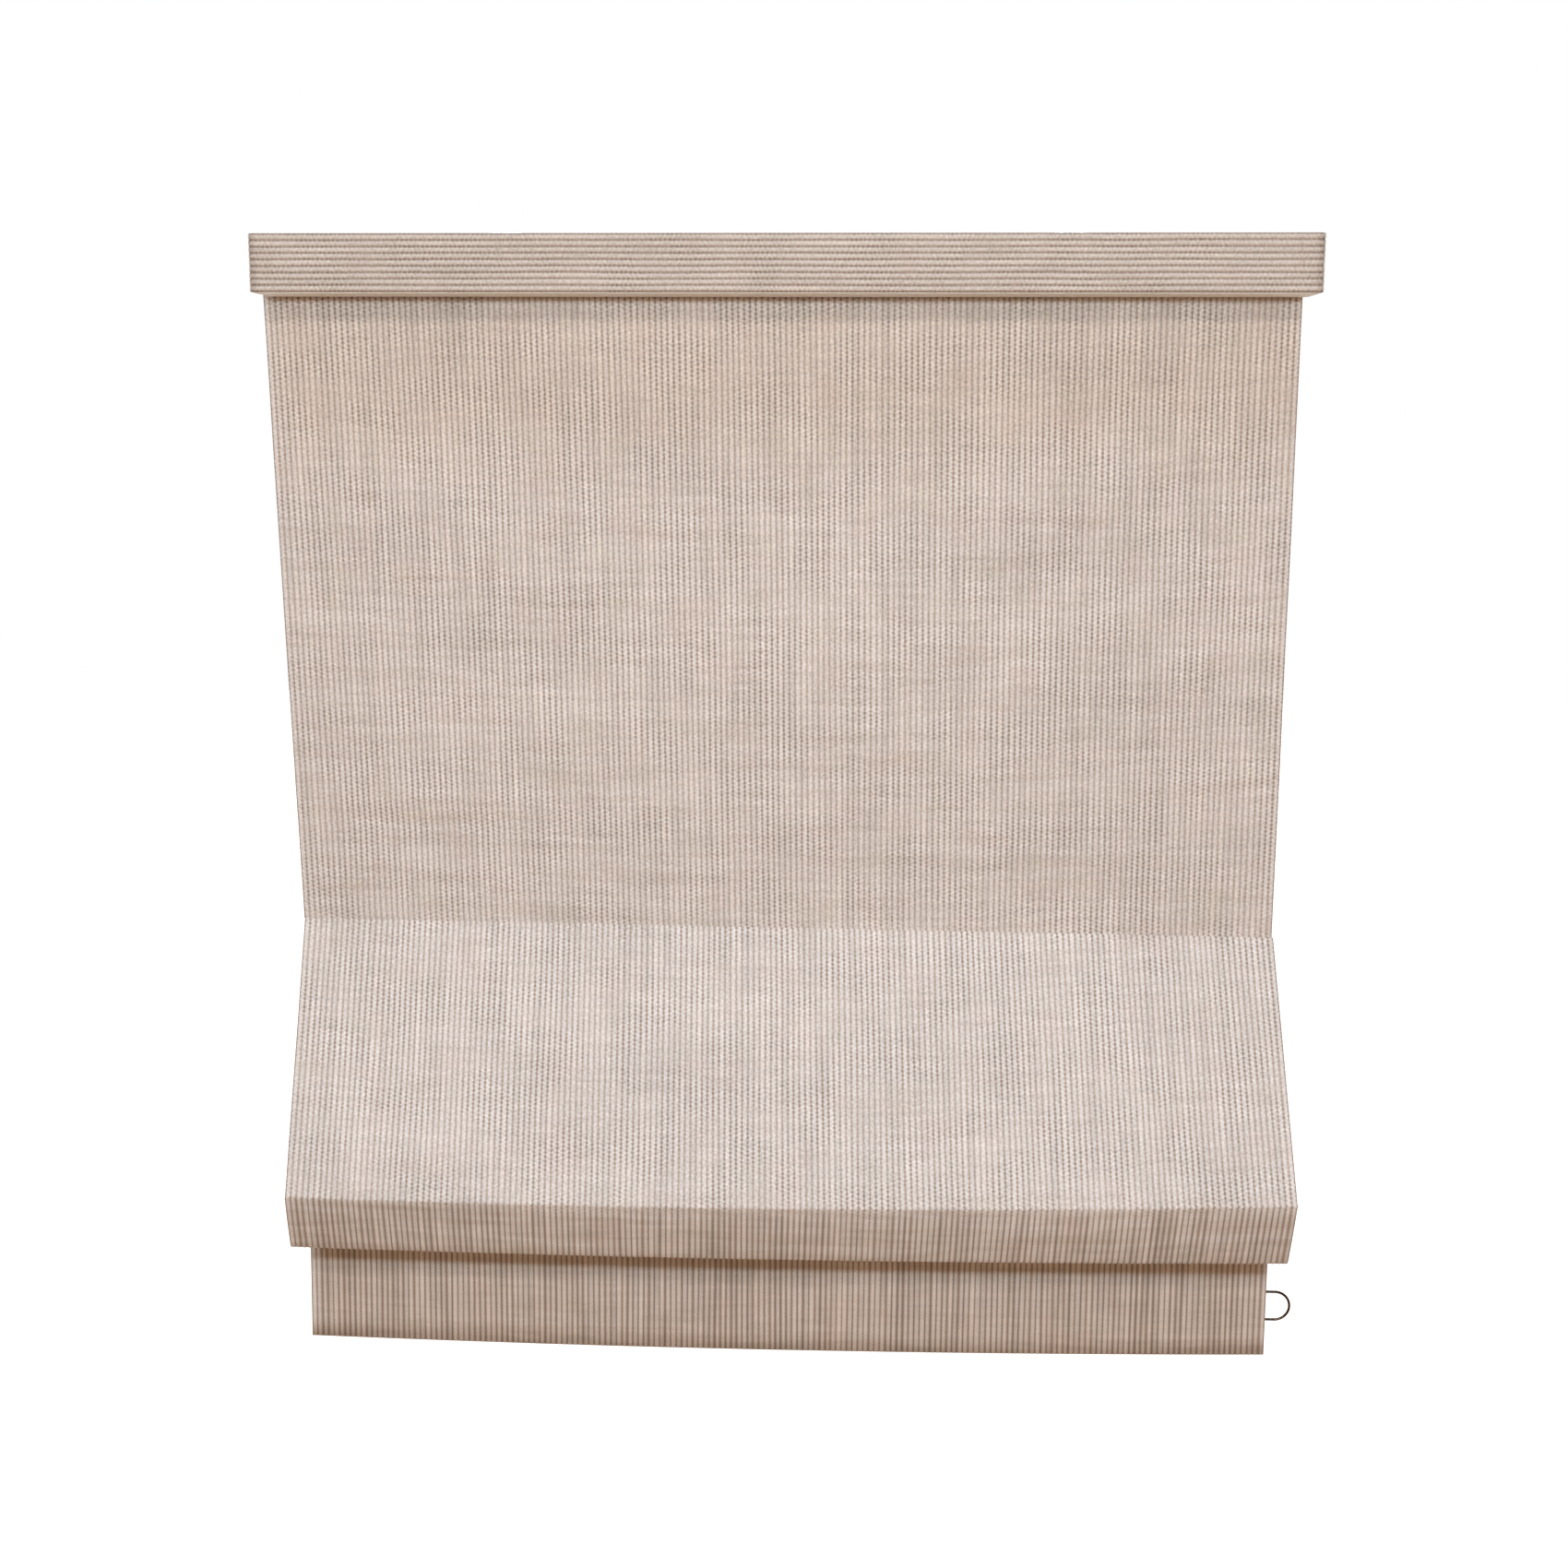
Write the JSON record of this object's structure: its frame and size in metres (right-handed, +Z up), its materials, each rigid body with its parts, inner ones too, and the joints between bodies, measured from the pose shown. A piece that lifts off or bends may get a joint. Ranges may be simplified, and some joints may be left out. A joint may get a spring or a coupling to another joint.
{
  "type": "roman blind",
  "caption": "Roman blind, half raised: ribbed cloth with one deep fold under a cloth-covered box pelmet, on a spring-balanced headrail with lift cords behind the cloth.",
  "frame": {"origin": "centre of the four wall screw holes, on the wall face of the two brackets", "axes": "+X to the right seen from the room, +Y into the wall, +Z up"},
  "size_m": [0.926, 0.1301, 1.027],
  "materials": {
    "ribbed_cloth": "matt ribbed weave",
    "pocket_cloth": "plain weave",
    "webbing": "narrow woven webbing",
    "tape": "hook and loop pile",
    "cord": "fine braid",
    "rail_aluminium": "satin anodised extrusion",
    "shaft_aluminium": "drawn",
    "bracket_steel": "zinc plated",
    "spring_steel": "oiled",
    "white_plastic": "moulded",
    "dark_plastic": "moulded",
    "batten": "drawn glass-fibre rod",
    "plated_ring": "dark nickel plate"
  },
  "bodies": {
    "blind": {"headrail": "rail_aluminium", "rail_cap_left": "white_plastic", "rail_cap_right": "white_plastic", "bracket_left": "bracket_steel", "bracket_right": "bracket_steel", "hook_tape": "tape", "loop_tape": "tape", "cradle_left": "white_plastic", "cradle_middle": "white_plastic", "cradle_right": "white_plastic", "lift_cord_left": "cord", "lift_cord_middle": "cord", "lift_cord_right": "cord", "lift_spring": "spring_steel", "spring_anchor": "dark_plastic", "pelmet_fascia": "rail_aluminium", "pelmet_end_left": "white_plastic", "pelmet_end_right": "white_plastic", "pelmet_end_screws": "bracket_steel", "pelmet_cover": "ribbed_cloth", "pelmet_clip_left": "spring_steel", "pelmet_clip_middle": "spring_steel", "pelmet_clip_right": "spring_steel", "blind_cloth": "ribbed_cloth", "upper_batten": "batten", "lower_batten": "batten", "upper_pocket": "pocket_cloth", "lower_pocket": "pocket_cloth", "upper_ring_left": "white_plastic", "upper_ring_middle": "white_plastic", "upper_ring_right": "white_plastic", "lower_ring_left": "white_plastic", "lower_ring_middle": "white_plastic", "lower_ring_right": "white_plastic", "cord_beads": "white_plastic", "hem_bar": "rail_aluminium", "hem_pocket": "pocket_cloth", "ring_tab": "webbing"},
    "lift_drive": {"lift_shaft": "shaft_aluminium", "spool_left": "white_plastic", "spool_middle": "white_plastic", "spool_right": "white_plastic", "wound_cord_left": "cord", "wound_cord_middle": "cord", "wound_cord_right": "cord", "spring_collar": "dark_plastic"},
    "hold_down": {"hold_down_ring": "plated_ring"}
  },
  "joints": [
    {"name": "shaft_turn", "type": "hinge", "parent": "blind", "child": "lift_drive", "pos_m": [0, -0.0246, -0.0269], "axis": [1, 0, 0], "range_deg": [-900, 3750]},
    {"name": "ring_swing", "type": "hinge", "parent": "blind", "child": "hold_down", "pos_m": [0.444, -0.02194, -0.971], "axis": [0, 0, 1], "range_deg": [0, 170]}
  ]
}
